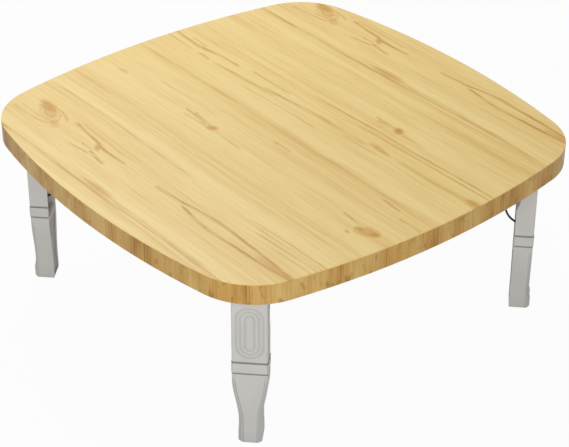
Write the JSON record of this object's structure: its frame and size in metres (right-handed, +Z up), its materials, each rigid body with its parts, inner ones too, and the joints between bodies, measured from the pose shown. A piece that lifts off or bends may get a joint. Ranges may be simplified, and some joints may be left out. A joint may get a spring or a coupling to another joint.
{
  "type": "folding floor table",
  "caption": "Low bowed-square floor table with a wood-grain board on tapered moulded legs that fold in under it along the diagonals.",
  "frame": {"origin": "on the floor under the middle of the board, with the legs open", "axes": "+Z up; +X along the grain of the board; the legs stand on the diagonals"},
  "size_m": [0.6, 0.6, 0.25],
  "materials": {
    "wood_face": "satin printed pine grain",
    "wood_edge": "satin cross-grain edge strip",
    "board_core": "raw fibreboard",
    "backing_sheet": "plain backing paper",
    "leg_plastic": "satin pearl grey",
    "foot_rubber": "matte",
    "zinc_steel": "zinc plated",
    "screw_steel": "yellow zinc plated",
    "washer_plastic": "plain",
    "spring_steel": "oil blackened"
  },
  "bodies": {
    "tabletop": {"top_core": "board_core", "face_laminate": "wood_face", "edge_band": "wood_edge", "back_laminate": "backing_sheet", "hinge_bracket_front_right": "zinc_steel", "bracket_screws_front_right": "screw_steel", "anchor_pin_front_right": "zinc_steel", "hinge_bracket_rear_right": "zinc_steel", "bracket_screws_rear_right": "screw_steel", "anchor_pin_rear_right": "zinc_steel", "hinge_bracket_rear_left": "zinc_steel", "bracket_screws_rear_left": "screw_steel", "anchor_pin_rear_left": "zinc_steel", "hinge_bracket_front_left": "zinc_steel", "bracket_screws_front_left": "screw_steel", "anchor_pin_front_left": "zinc_steel"},
    "leg_front_right": {"leg_shell_front_right": "leg_plastic", "back_cover_front_right": "leg_plastic", "foot_pad_front_right": "foot_rubber", "hinge_rivets_front_right": "zinc_steel", "hinge_washers_front_right": "washer_plastic", "leg_pin_front_right": "zinc_steel"},
    "spring_front_right": {"bow_spring_front_right": "spring_steel"},
    "leg_rear_right": {"leg_shell_rear_right": "leg_plastic", "back_cover_rear_right": "leg_plastic", "foot_pad_rear_right": "foot_rubber", "hinge_rivets_rear_right": "zinc_steel", "hinge_washers_rear_right": "washer_plastic", "leg_pin_rear_right": "zinc_steel"},
    "spring_rear_right": {"bow_spring_rear_right": "spring_steel"},
    "leg_rear_left": {"leg_shell_rear_left": "leg_plastic", "back_cover_rear_left": "leg_plastic", "foot_pad_rear_left": "foot_rubber", "hinge_rivets_rear_left": "zinc_steel", "hinge_washers_rear_left": "washer_plastic", "leg_pin_rear_left": "zinc_steel"},
    "spring_rear_left": {"bow_spring_rear_left": "spring_steel"},
    "leg_front_left": {"leg_shell_front_left": "leg_plastic", "back_cover_front_left": "leg_plastic", "foot_pad_front_left": "foot_rubber", "hinge_rivets_front_left": "zinc_steel", "hinge_washers_front_left": "washer_plastic", "leg_pin_front_left": "zinc_steel"},
    "spring_front_left": {"bow_spring_front_left": "spring_steel"}
  },
  "joints": [
    {"name": "leg_fold_front_right", "type": "hinge", "parent": "tabletop", "child": "leg_front_right", "pos_m": [0.22327, -0.22327, 0.191], "axis": [0.7071, 0.7071, 0], "range_deg": [0, 90]},
    {"name": "spring_swing_front_right", "type": "hinge", "parent": "tabletop", "child": "spring_front_right", "pos_m": [0.22752, -0.22752, 0.19628], "axis": [0.7071, 0.7071, 0], "range_deg": [0, 80.5]},
    {"name": "leg_fold_rear_right", "type": "hinge", "parent": "tabletop", "child": "leg_rear_right", "pos_m": [0.22327, 0.22327, 0.191], "axis": [-0.7071, 0.7071, 0], "range_deg": [0, 90]},
    {"name": "spring_swing_rear_right", "type": "hinge", "parent": "tabletop", "child": "spring_rear_right", "pos_m": [0.22752, 0.22752, 0.19628], "axis": [-0.7071, 0.7071, 0], "range_deg": [0, 80.5]},
    {"name": "leg_fold_rear_left", "type": "hinge", "parent": "tabletop", "child": "leg_rear_left", "pos_m": [-0.22327, 0.22327, 0.191], "axis": [-0.7071, -0.7071, 0], "range_deg": [0, 90]},
    {"name": "spring_swing_rear_left", "type": "hinge", "parent": "tabletop", "child": "spring_rear_left", "pos_m": [-0.22752, 0.22752, 0.19628], "axis": [-0.7071, -0.7071, 0], "range_deg": [0, 80.5]},
    {"name": "leg_fold_front_left", "type": "hinge", "parent": "tabletop", "child": "leg_front_left", "pos_m": [-0.22327, -0.22327, 0.191], "axis": [0.7071, -0.7071, 0], "range_deg": [0, 90]},
    {"name": "spring_swing_front_left", "type": "hinge", "parent": "tabletop", "child": "spring_front_left", "pos_m": [-0.22752, -0.22752, 0.19628], "axis": [0.7071, -0.7071, 0], "range_deg": [0, 80.5]}
  ],
  "couplings": [
    {"joint": "spring_swing_front_right", "follows": "leg_fold_front_right", "ratio": 0.89352},
    {"joint": "spring_swing_rear_right", "follows": "leg_fold_rear_right", "ratio": 0.89352},
    {"joint": "spring_swing_rear_left", "follows": "leg_fold_rear_left", "ratio": 0.89352},
    {"joint": "spring_swing_front_left", "follows": "leg_fold_front_left", "ratio": 0.89352}
  ]
}
